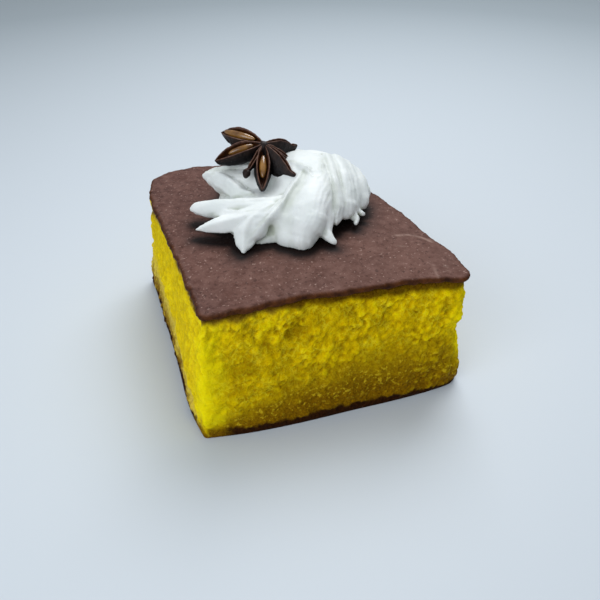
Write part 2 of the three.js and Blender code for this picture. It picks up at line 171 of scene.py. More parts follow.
# ---- materials -----------------------------------------------------------------------------
class Shader:
    """A Principled material built from a few short calls."""

    def __init__(self, name, roughness=0.6, **sockets):
        self.material = bpy.data.materials.new(name)
        self.material.use_nodes = True
        self.tree = self.material.node_tree
        self.surface = self.tree.nodes["Principled BSDF"]
        self.put("Roughness", roughness)
        for socket, value in sockets.items():
            self.put(socket.replace("_", " "), value)

    def put(self, socket, value):
        target = self.surface.inputs[socket]
        if isinstance(value, bpy.types.NodeSocket):
            self.tree.links.new(value, target)
        else:
            target.default_value = value

    def node(self, kind, settings=None, **inputs):
        n = self.tree.nodes.new(kind)
        for key, value in (settings or {}).items():
            setattr(n, key, value)
        for key, value in inputs.items():
            target = n.inputs[int(key[1:])] if key[0] == "i" and key[1:].isdigit() else n.inputs[key]
            if isinstance(value, bpy.types.NodeSocket):
                self.tree.links.new(value, target)
            else:
                target.default_value = value
        return n

    def mask(self, name):
        return self.node("ShaderNodeAttribute", {"attribute_name": name}).outputs["Fac"]

    def place(self):
        return self.node("ShaderNodeTexCoord").outputs["Object"]

    def noise(self, scale, detail=3.0, rough=0.55):
        n = self.node("ShaderNodeTexNoise", Vector=self.place(), Scale=scale, Detail=detail, Roughness=rough)
        return n.outputs["Fac"]

    def grains(self, scale):
        n = self.node("ShaderNodeTexVoronoi", Vector=self.place(), Scale=scale)
        return n.outputs["Distance"]

    def walls(self, scale, bend):
        """Distance to the walls of a foam of cells, bent by some noise."""
        waves = self.node("ShaderNodeTexNoise", Vector=self.place(), Scale=scale * 1.3, Detail=2.0).outputs["Color"]
        bent = self.node("ShaderNodeVectorMath", {"operation": "MULTIPLY_ADD"}, i0=waves, i1=(bend,) * 3, i2=self.place())
        n = self.node("ShaderNodeTexVoronoi", {"feature": "DISTANCE_TO_EDGE"}, Vector=bent.outputs[0], Scale=scale)
        return n.outputs["Distance"]

    def ramp(self, value, low, high, to_low=0.0, to_high=1.0):
        n = self.node("ShaderNodeMapRange", i0=value, i1=low, i2=high, i3=to_low, i4=to_high)
        return n.outputs[0]

    def math(self, operation, a, b=0.5):
        return self.node("ShaderNodeMath", {"operation": operation}, i0=a, i1=b).outputs[0]

    def blend(self, factor, a, b, how="MIX"):
        n = self.node("ShaderNodeMix", {"data_type": "RGBA", "blend_type": how}, i0=factor, i6=a, i7=b)
        return n.outputs[2]

    def bump(self, height, strength, distance):
        n = self.node("ShaderNodeBump", Height=height, Strength=strength, Distance=distance)
        self.tree.links.new(n.outputs["Normal"], self.surface.inputs["Normal"])


def crumb_material():
    s = Shader("crumb", 0.9, Subsurface_Weight=0.16, Subsurface_Scale=0.0008, Specular_IOR_Level=0.02)
    s.surface.inputs["Subsurface Radius"].default_value = (1.0, 0.75, 0.05)
    fine = s.ramp(s.noise(1500, 4, 0.65), 0.3, 0.75)
    relief = s.mask("relief")
    patchy = s.ramp(s.noise(260, 3), 0.42, 0.62)
    # painted shade and highlight: the crumb is darker where it lies low and brighter on its raised grains
    tone = s.blend(s.ramp(relief, 0.0, 0.5), srgb(124, 86, 0), srgb(234, 196, 0))
    tone = s.blend(s.ramp(relief, 0.45, 1.0), tone, srgb(255, 240, 4))
    tone = s.blend(s.math("MULTIPLY", s.ramp(s.noise(230, 3), 0.4, 0.7), 0.35), tone, srgb(214, 168, 0))
    foam = s.walls(560, 0.0026)
    # painted shade in the hollows of the foam's cells
    tone = s.blend(s.math("MULTIPLY", s.ramp(foam, 0.16, 0.5), s.ramp(patchy, 0, 1, 0.1, 0.5)), tone, srgb(168, 126, 0))
    # painted highlight on the thin cell walls
    wall_highlight = s.math("MULTIPLY", s.ramp(foam, 0.03, 0.14, 1, 0), s.ramp(patchy, 0, 1, 0.04, 0.3))
    tone = s.blend(wall_highlight, tone, srgb(255, 248, 60))
    tone = s.blend(0.25, tone, s.blend(fine, srgb(190, 136, 0), srgb(255, 246, 20)))
    # painted light: the left face is lighter, as it is lit from the left
    tone = s.blend(s.ramp(s.mask("side"), 0, 1, 0, 0.4), tone, srgb(240, 214, 30))
    # painted highlight on the front left edge and the front right corner
    tone = s.blend(s.mask("corner_highlight"), tone, srgb(255, 238, 12))
    soak = s.math("MULTIPLY", s.mask("soak"), s.ramp(relief, 0.3, 1.0, 1.0, 0.55))
    tan = s.blend(fine, srgb(134, 100, 0), srgb(182, 150, 10))
    # painted light: the soaked crumb is lighter on the left face too
    tan = s.blend(s.mask("side"), tan, s.blend(fine, srgb(188, 158, 60), srgb(228, 208, 104)))
    wet = s.blend(fine, srgb(90, 58, 0), srgb(148, 108, 6))
    tone = s.blend(s.ramp(soak, 0.02, 0.4, 0.0, 0.75), tone, tan)
    tone = s.blend(s.ramp(soak, 0.42, 0.92, 0.0, 0.95), tone, wet)
    # painted glints: bright specks in the soaked zone stand in for highlights on its wet surface
    painted_glints = s.math("MULTIPLY", s.ramp(s.noise(820, 3, 0.6), 0.56, 0.64), s.ramp(s.mask("soak"), 0.2, 0.6, 0, 0.5))
    tone = s.blend(s.math("MULTIPLY", painted_glints, s.ramp(s.mask("soak"), 0.9, 1.0, 1, 0.3)), tone, srgb(226, 196, 40))
    tone = s.blend(s.mask("brown"), tone, s.blend(fine, srgb(44, 20, 2), srgb(98, 56, 6)))
    tone = s.blend(s.mask("burnt"), tone, s.blend(fine, srgb(26, 11, 5), srgb(62, 32, 10)))
    s.put("Base Color", tone)
    s.put("Roughness", s.ramp(soak, 0.2, 0.9, 0.85, 0.5))
    height = s.math("ADD", s.noise(1900, 4, 0.7), s.ramp(foam, 0.0, 0.4, 1, 0))
    s.bump(height, 0.6, 0.0003)
    return s.material


def skin_material():
    s = Shader("browned_skin", 0.6, Specular_IOR_Level=0.12)
    broad = s.ramp(s.noise(60, 4, 0.6), 0.3, 0.7)
    dark = s.blend(broad, srgb(70, 44, 40), srgb(88, 56, 48))
    light = s.blend(broad, srgb(82, 51, 42), srgb(100, 66, 55))
    # painted light and shade: lit and shaded copies of the skin's colour
    tone = s.blend(s.mask("front_right_light"), dark, light)
    mottle = s.ramp(s.noise(420, 5, 0.7), 0.35, 0.68)
    tone = s.blend(s.math("MULTIPLY", mottle, 0.6), tone, srgb(128, 94, 84))
    # painted shade in the skin's pores, which the bump also sinks
    pits = s.ramp(s.noise(800, 3, 0.6), 0.32, 0.42)
    tone = s.blend(s.math("MULTIPLY", s.math("SUBTRACT", 1.0, pits), 0.5), tone, srgb(48, 26, 20))
    # painted sheen: small light specks stand in for glints on the skin
    sheen_specks = s.ramp(s.noise(1150, 3, 0.6), 0.62, 0.7)
    tone = s.blend(s.math("MULTIPLY", sheen_specks, 0.6), tone, srgb(176, 146, 134))
    tone = s.blend(s.mask("rim"), tone, s.blend(mottle, srgb(44, 18, 4), srgb(90, 48, 16)))
    tone = s.blend(s.math("MULTIPLY", s.mask("scuff"), 0.75), tone, srgb(180, 150, 136))
    # painted shadow of the cream on the skin
    tone = s.blend(s.mask("cream_shadow"), tone, srgb(22, 12, 10))
    s.put("Base Color", tone)
    s.bump(s.math("ADD", s.noise(900, 5, 0.65), s.math("MULTIPLY", pits, 0.6)), 0.45, 0.00025)
    return s.material


def cream_material():
    s = Shader("whipped_cream", 0.5, Subsurface_Weight=0.12, Subsurface_Scale=0.0012, Specular_IOR_Level=0.35)
    s.surface.inputs["Subsurface Radius"].default_value = (1.0, 0.95, 0.85)
    tone = s.blend(s.ramp(s.noise(110, 3), 0.35, 0.7), srgb(226, 231, 228), srgb(240, 243, 241))
    # painted shade: a darker, yellowish grey in the cream's creases
    tone = s.blend(s.ramp(s.mask("crease_shade"), 0.22, 0.75, 0, 0.8), tone, srgb(170, 177, 158))
    s.put("Base Color", tone)
    s.bump(s.math("ADD", s.noise(420, 4, 0.6), s.math("MULTIPLY", s.noise(1800, 3), 0.5)), 0.3, 0.0004)
    return s.material


def husk_material():
    s = Shader("anise_husk", 0.5, Specular_IOR_Level=0.22)
    grain = s.ramp(s.noise(620, 5, 0.65), 0.35, 0.7)
    tone = s.blend(grain, srgb(3, 2, 3), srgb(16, 10, 10))
    tone = s.blend(s.mask("inside"), tone, s.blend(grain, srgb(30, 15, 7), srgb(84, 45, 18)))
    tone = s.blend(s.mask("lip"), tone, s.blend(grain, srgb(66, 40, 32), srgb(128, 94, 78)))
    s.put("Base Color", tone)
    s.put("Roughness", s.ramp(s.mask("inside"), 0, 1, 0.5, 0.3))
    s.bump(s.math("ADD", s.noise(700, 5, 0.7), s.math("MULTIPLY", s.grains(1300), 0.5)), 0.5, 0.0004)
    return s.material


def seed_material():
    s = Shader("anise_seed", 0.16, Specular_IOR_Level=0.6, Coat_Weight=0.5, Coat_Roughness=0.12)
    tone = s.blend(s.ramp(s.noise(300, 3), 0.35, 0.7), srgb(92, 56, 16), srgb(158, 112, 48))
    s.put("Base Color", tone)
    return s.material


def floor_material():
    s = Shader("studio_floor", 0.55, Specular_IOR_Level=0.3)
    # painted light falloff: the floor is lighter near the slice and darker farther away
    far = s.node("ShaderNodeVectorMath", {"operation": "LENGTH"}, i0=s.place()).outputs["Value"]
    s.put("Base Color", s.blend(s.ramp(far, 0.05, 0.5), srgb(208, 215, 221), srgb(158, 168, 174)))
    return s.material


# ---- sponge --------------------------------------------------------------------------------
HEIGHT = 40.0
SHELF = 38.1  # underside of the browned skin
BASE = 1.8
TOP_EDGE = {
    "front": [(4, 3.6), (13.7, 3.5), (28.9, 3.6), (41.7, 2), (55.1, 1), (65.7, -0.9), (72.2, -3)],
    "right": [(74.9, -0.8), (74.7, 11), (72.9, 19.5), (72.5, 28.5), (71.2, 37), (68.6, 49.2), (66.6, 66), (65, 80)],
    "back": [(62.5, 83.2), (45, 83.6), (24.9, 83.4), (18.8, 84.9), (13.8, 84.6), (7.8, 83.4)],
    "left": [(2.8, 79.4), (1.2, 72), (0.8, 63), (1.9, 44.4), (2.7, 30.1), (3.3, 17), (3.7, 8)],
}
BASE_EDGE = {
    "front": [(0, 0), (12.4, -2.1), (26.6, -3.3), (41.6, -3.8), (57.2, -4.4), (68, -4.3), (75.2, -3.4)],
    "right": [(77.6, -1.2), (77.4, 11), (76.8, 20), (76.4, 29), (75.4, 38), (74, 50), (71.8, 67), (70.4, 81)],
    "back": [(68, 84.4), (48, 85.4), (27, 85.2), (19, 84.6), (11, 83.4), (3, 81.6)],
    "left": [(-3.6, 78.5), (-3, 71.3), (-2.7, 62), (-2.2, 44), (-2, 30), (-2.1, 16.6), (-1.5, 8.3)],
}
SET_BACK = {"front": 0.7, "right": 1.5, "back": 0.6, "left": 0.4}
SIDE_SHARE = {"front": 0.235, "right": 0.265, "back": 0.235, "left": 0.265}
LUMPS = [
    ((-0.5, 62, 35), 5, 1.5),
    ((-0.5, 76, 34), 4, 1.3),
    ((77, -3.4, 2.6), 3.2, 1.3),
    ((75.5, -2.5, 21), 10, -1.1),
    ((76.3, -3, 13), 6, -0.7),
    ((77, -3.4, 6.5), 2.6, 0.9),
    ((74, -2.5, 33), 4, 0.7),
    ((60, -3.6, 9), 8, 0.7),
    ((38, -2.6, 6), 9, 0.6),
]
POCKETS = [((27.4, 1.6, 29.4), (3.4, 2.6, 1.9)), ((51.5, 0.4, 35.8), (1.3, 1.6, 0.6))]
AROUND = 800


def curve_points(run, count):
    """count + 1 evenly spaced points on a centripetal Catmull-Rom curve through the run."""
    run = np.asarray(run, float)
    padded = np.vstack([2 * run[0] - run[1], run, 2 * run[-1] - run[-2]])
    dense = []
    for n in range(len(run) - 1):
        p0, p1, p2, p3 = padded[n : n + 4]
        t = np.cumsum([0] + [np.linalg.norm(b - a) ** 0.5 for a, b in ((p0, p1), (p1, p2), (p2, p3))])
        x = np.linspace(t[1], t[2], 40, endpoint=n == len(run) - 2)[:, None]
        a1 = (t[1] - x) / (t[1] - t[0]) * p0 + (x - t[0]) / (t[1] - t[0]) * p1
        a2 = (t[2] - x) / (t[2] - t[1]) * p1 + (x - t[1]) / (t[2] - t[1]) * p2
        a3 = (t[3] - x) / (t[3] - t[2]) * p2 + (x - t[2]) / (t[3] - t[2]) * p3
        b1 = (t[2] - x) / (t[2] - t[0]) * a1 + (x - t[0]) / (t[2] - t[0]) * a2
        b2 = (t[3] - x) / (t[3] - t[1]) * a2 + (x - t[1]) / (t[3] - t[1]) * a3
        dense.append((t[2] - x) / (t[2] - t[1]) * b1 + (x - t[1]) / (t[2] - t[1]) * b2)
    dense = np.vstack(dense)
    along = np.concatenate([[0], np.cumsum(np.linalg.norm(np.diff(dense, axis=0), axis=1))])
    at = np.linspace(0, along[-1], count + 1)
    return np.stack([np.interp(at, along, dense[:, k]) for k in range(dense.shape[1])], 1)


def outline(sides):
    names = list(sides)
    parts = []
    for n, name in enumerate(names):
        run = sides[name] + [sides[names[(n + 1) % 4]][0]]
        parts.append(curve_points(run, round(SIDE_SHARE[name] * AROUND))[:-1])
    ring = np.vstack(parts)
    return sum(np.roll(ring, n, 0) for n in range(-3, 4)) / 7  # softens the corners


def side_values(values):
    """One number a point of the outline, eased over the corners."""
    flat = np.concatenate([np.full(round(SIDE_SHARE[n] * AROUND), values[n]) for n in SIDE_SHARE])
    kernel = np.ones(15) / 15
    return np.convolve(np.concatenate([flat[-7:], flat, flat[:7]]), kernel, "valid")


def outward(ring):
    along = np.roll(ring, -3, 0) - np.roll(ring, 3, 0)
    normal = np.stack([along[:, 1], -along[:, 0]], 1)
    return normal / np.linalg.norm(normal, axis=1, keepdims=True)


def crumb_relief(p):
    """Coarse relief as in the part's source with the crumb's grains on it, and how far each point stands out, 0 to 1."""
    z = p[:, 2]
    coarse = 0.55 * noise(p, 6.5, 11) + 0.5 * noise(p, 3.2, 12)
    for at, reach, height in LUMPS:
        away = np.linalg.norm(p - at, axis=1) / reach
        coarse += height * np.exp(-3 * away**2)
    bent = p + np.stack([noise(p, 1.9, 41 + n) for n in range(3)], 1) * 0.6
    big, big2, kind = cells(bent, 2.0, 50)
    small, small2, kind2 = cells(bent, 1.0, 60)
    rough = 0.75 + 0.45 * noise(p, 11, 72)
    domes = (0.62 - big**2) * (0.2 + 1.2 * kind) * 0.85
    beads = (0.6 - small**2) * (0.2 + 1.1 * kind2) * 0.5
    pits = 0.55 * ease((0.45 - big) / 0.25) * (kind < 0.12) + 0.25 * ease((0.4 - small) / 0.25) * (kind2 < 0.12)
    fine = rough * (domes + beads - pits + 0.10 * noise(p, 0.8, 71))
    fade = ease((z - 0.5) / 1.2)
    share = np.clip(0.4 + 1.1 * (fine - 0.35), 0, 1)
    return (coarse * np.clip((z - 0.8) / 2, 0, 1) + (fine - 0.4) * fade), share


def pocket_depth(p):
    """How deep the air pockets cut into the front face."""
    depth = np.zeros(len(p))
    for at, size in POCKETS:
        wobble = 1 + 0.22 * noise(p, 1.4, 77)
        away = np.hypot((p[:, 0] - at[0]) / size[0], (p[:, 2] - at[2]) / size[2]) / wobble
        near = np.abs(p[:, 1] - at[1]) < 6
        depth = np.maximum(depth, near * size[1] * 0.85 * ease((1.1 - away) / 0.55))
    return depth


def close_rings(rows, around, low_middle=None, high_middle=None):
    """Quads over rows of rings, as triangles, with an optional fan at either end."""
    i = np.arange(around)
    j = (i + 1) % around
    faces = []
    for k in range(rows - 1):
        a, b = k * around + i, k * around + j
        faces += [np.stack([a, b, b + around], 1), np.stack([a, b + around, a + around], 1)]
    if low_middle is not None:
        faces.append(np.stack([np.full(around, low_middle), j, i], 1))
    if high_middle is not None:
        last = (rows - 1) * around
        faces.append(np.stack([np.full(around, high_middle), last + i, last + j], 1))
    return np.vstack(faces)


def soaked(p):
    """How much of the darker, rum-soaked colour shows, from the base up."""
    x, y, z = p.T
    front = ease((12 - y) / 6)
    edge = ease((76.5 - x) / 6)  # the front right corner stays yellow
    reach = mix(12 + 9 * ease(y / 80), 6 + 22 * ease((x + 4) / 50), front) * mix(0.45, 1, edge)
    reach = reach + 2.6 * noise(p, 7, 81) + 3.0 * noise(p, 2.6, 82) + 1.3 * noise(p, 1.0, 85)
    return 1 - ease(z / np.maximum(reach, 1.5) * 1.15 - 0.12)


def build_crumb():
    top, base = outline(TOP_EDGE), outline(BASE_EDGE)
    set_back = side_values(SET_BACK)
    levels = np.concatenate([[0, 0.25, 0.6, 1.0], np.arange(1.4, SHELF - 0.2, 0.4), [SHELF + 0.1]])
    rings, masks = [], {"relief": [], "soak": [], "brown": [], "corner_highlight": [], "side": [], "burnt": []}
    for z in levels:
        t = z / HEIGHT
        ring = base + (top - base) * t
        normal = outward(ring)
        p = np.column_stack([ring, np.full(len(ring), z)])
        foot = -0.4 * (1 - z / BASE) ** 2 if z < BASE else 0
        hang = -set_back * ease((z - 20) / (SHELF - 20))
        relief, share = crumb_relief(p)
        pocket = pocket_depth(p)
        out = foot + hang + relief - pocket
        if z > SHELF:
            out = out - 1.2
        rise = 0.12 * noise(p, 1.1, 91) * (0.8 < z < SHELF - 1)
        rings.append(np.column_stack([ring + normal * out[:, None], z + rise]))
        # painted shade: inside the air pockets the crumb takes its darkest colour
        share = np.where(pocket > 0.4, 0.05, share)
        rag = 0.7 * noise(p, 2.4, 83) + 0.35 * noise(p, 0.9, 84)
        thick = 2.5 + 1.5 * ease((p[:, 0] - 20) / 40)
        under_skin = ease((z - SHELF + thick + rag) / 2.2)
        gap = 1 - 0.75 * ease((9 - np.hypot(p[:, 0], p[:, 1])) / 5)  # the dark base fades out at the front left corner
        dark_base = ease((3.3 - 0.9 * ease((p[:, 0] - 40) / 30) + 1.4 * rag - z) / 1.1) * gap
        masks["relief"].append(share)
        corner = np.hypot(p[:, 0] - 1, p[:, 1] - 1)  # painted highlight: the front left edge is the brightest
        strip = np.hypot(p[:, 0] - 76, p[:, 1] + 3)
        # painted highlight on the front left edge and the front right corner
        edge_highlight = np.maximum(0.72 * ease((10 - corner + 3 * rag) / 10), 0.4 * ease((9 - strip + 3 * rag) / 9))
        # painted light: marks the left face, fading towards its front end
        masks["side"].append(ease((p[:, 1] - 1) / 6) * ease((30 - p[:, 0]) / 10))
        masks["corner_highlight"].append(edge_highlight * ease((z - 2) / 4))
        masks["soak"].append(np.maximum(soaked(p), 0.5 * ease((z - (SHELF - 2.6) + 1.6 * rag) / 2.6)))
        masks["brown"].append(0.85 * under_skin)
        masks["burnt"].append(dark_base)
    points = np.vstack(rings)
    count = len(top)
    foot_middle = len(points)
    points = np.vstack([points, [[36, 40, 0], [36, 40, SHELF + 0.1]]])
    faces = close_rings(len(levels), count, foot_middle, foot_middle + 1)
    values = {name: np.concatenate([*rows, [0.5, 0.5]]) for name, rows in masks.items()}
    return make_piece("sponge_crumb", points, faces, crumb_material(), values)


SCUFFS = [
    ([(64.1, 21.3), (67.5, 20.6), (70.4, 18.4), (72.4, 15.4)], 0.45, 0.8),
    ([(67.3, 5.8), (66.2, 2.6), (65.4, -0.4)], 0.3, 0.7),
    ([(70.6, 4.2), (69.0, 1.0)], 0.25, 0.4),
    ([(62.0, 16.2), (63.6, 15.6)], 0.35, 0.5),
]


def scuff_mask(p):
    mask = np.zeros(len(p))
    for run, width, strength in SCUFFS:
        line = curve_points(run, 24)
        d = np.min(np.hypot(p[:, :1] - line[:, 0], p[:, 1:2] - line[:, 1]), axis=1)
        mask = np.maximum(mask, strength * ease((width * 1.8 - d) / (width * 1.4)))
    return mask * (0.55 + 0.45 * noise(p, 1.3, 95))


def cream_shadow_mask(p, cream_points):
    """Painted shadow: the skin is darker round the cream, most towards the front left, where the cream's shadow falls.
    """
    foot = cream_points[cream_points[:, 2] < HEIGHT + 3][::3]
    tree = KDTree(len(foot))
    for n, (x, y, _) in enumerate(foot):
        tree.insert((x, y, 0), n)
    tree.balance()
    d = np.array([tree.find((x + 0.8, y + 1.4, 0))[2] for x, y, _ in p])
    return 0.6 * np.exp(-((d / 3.4) ** 2)) + 0.4 * np.exp(-((d / 1.5) ** 2))


def build_skin(cream_points):
    top, base = outline(TOP_EDGE), outline(BASE_EDGE)
    middle = np.array([36.0, 40.0])
    rows, rims = [], []
    ring = base + (top - base) * (SHELF / HEIGHT)
    normal = outward(ring)
    lip = [(SHELF - 0.05, -4.5), (SHELF - 0.1, -1.6), (SHELF + 0.05, -0.35), (SHELF + 0.35, 0.0), (SHELF + 0.75, 0.12)]
    lip += [(SHELF + 1.1, 0.08), (SHELF + 1.4, -0.12), (SHELF + 1.62, -0.42), (SHELF + 1.72, -0.85)]
    for n, (z, out) in enumerate(lip):
        ring = base + (top - base) * (z / HEIGHT)
        p = np.column_stack([ring, np.full(len(ring), z)])
        rough = 0.3 * noise(p, 3, 21) + 0.2 * noise(p, 1.1, 22) + 0.12 * noise(p, 0.5, 23)
        drop = 0.35 * noise(p, 1.6, 24) * (n in (1, 2, 3))
        rows.append(np.column_stack([ring + normal * (out + rough * (1 if n > 1 else 0))[:, None], z + drop]))
        rims.append(np.full(len(ring), [1, 1, 1, 1, 1, 1, 0.92, 0.5, 0.12][n]))
    inset = top + outward(top) * -1.4
    shrinks = np.concatenate([[1.0, 0.99, 0.978, 0.965], np.linspace(0.95, 0.02, 50)])
    for shrink in shrinks:
        ring = middle + (inset - middle) * shrink
        z = skin_height(ring, (1 - shrink) * 38 + 1.4)
        rows.append(np.column_stack([ring, z]))
        rims.append(np.full(len(ring), 0.0))
    points = np.vstack(rows)
    count = len(top)
    last = len(points)
    centre_z = skin_height(middle[None], np.array([39.0]))[0]
    points = np.vstack([points, [[36, 40, SHELF - 0.05], [36, 40, centre_z]]])
    faces = close_rings(len(rows), count, last, last + 1)
    rim = np.concatenate([*rims, [1, 0]])
    rim = np.clip(rim + 0.25 * noise(points, 1.5, 96) * (rim > 0.02) * (rim < 0.98), 0, 1)
    away = np.hypot((points[:, 0] - 50) / 46, (points[:, 1] - 6) / 62)  # painted light: the skin is lighter towards the front right, as if lit from the right
    front_right_light = ease(1.15 - 0.75 * away + 0.12 * noise(points, 14, 97))
    masks = {"rim": rim, "scuff": scuff_mask(points) * (points[:, 2] > SHELF + 1), "front_right_light": front_right_light,
             "cream_shadow": cream_shadow_mask(points, cream_points) * (points[:, 2] > SHELF + 1)}
    return make_piece("sponge_skin", points, faces, skin_material(), masks)


def skin_height(ring, inward):
    p = np.column_stack([ring, np.full(len(ring), 7.0)])
    broad = np.column_stack([ring, np.full(len(ring), 0.0)])
    waves = 0.12 * noise(broad + (0, 0, 7), 14, 31) + 0.06 * noise(broad + (0, 0, 12.5), 5, 32)
    grain = 0.035 * noise(p, 1.3, 33) + 0.02 * noise(p, 0.7, 34)
    return HEIGHT - 0.2 + waves + grain - 0.35 * (1 - np.clip(inward / 5, 0, 1)) ** 2


# ---- cream ---------------------------------------------------------------------------------
CREAM_BASE = HEIGHT - 0.15
CREAM_CELL = 0.4
MOUNDS = [
    ((37, 50, 39.5), (18, 18.5, 10.0)),
    ((32, 44.5, 39.5), (15.5, 11.5, 8.6)),
    ((45, 49, 41), (15.5, 16, 14.2)),
    ((28.4, 36.4, 39.8), (8.2, 7.6, 5.8)),
]
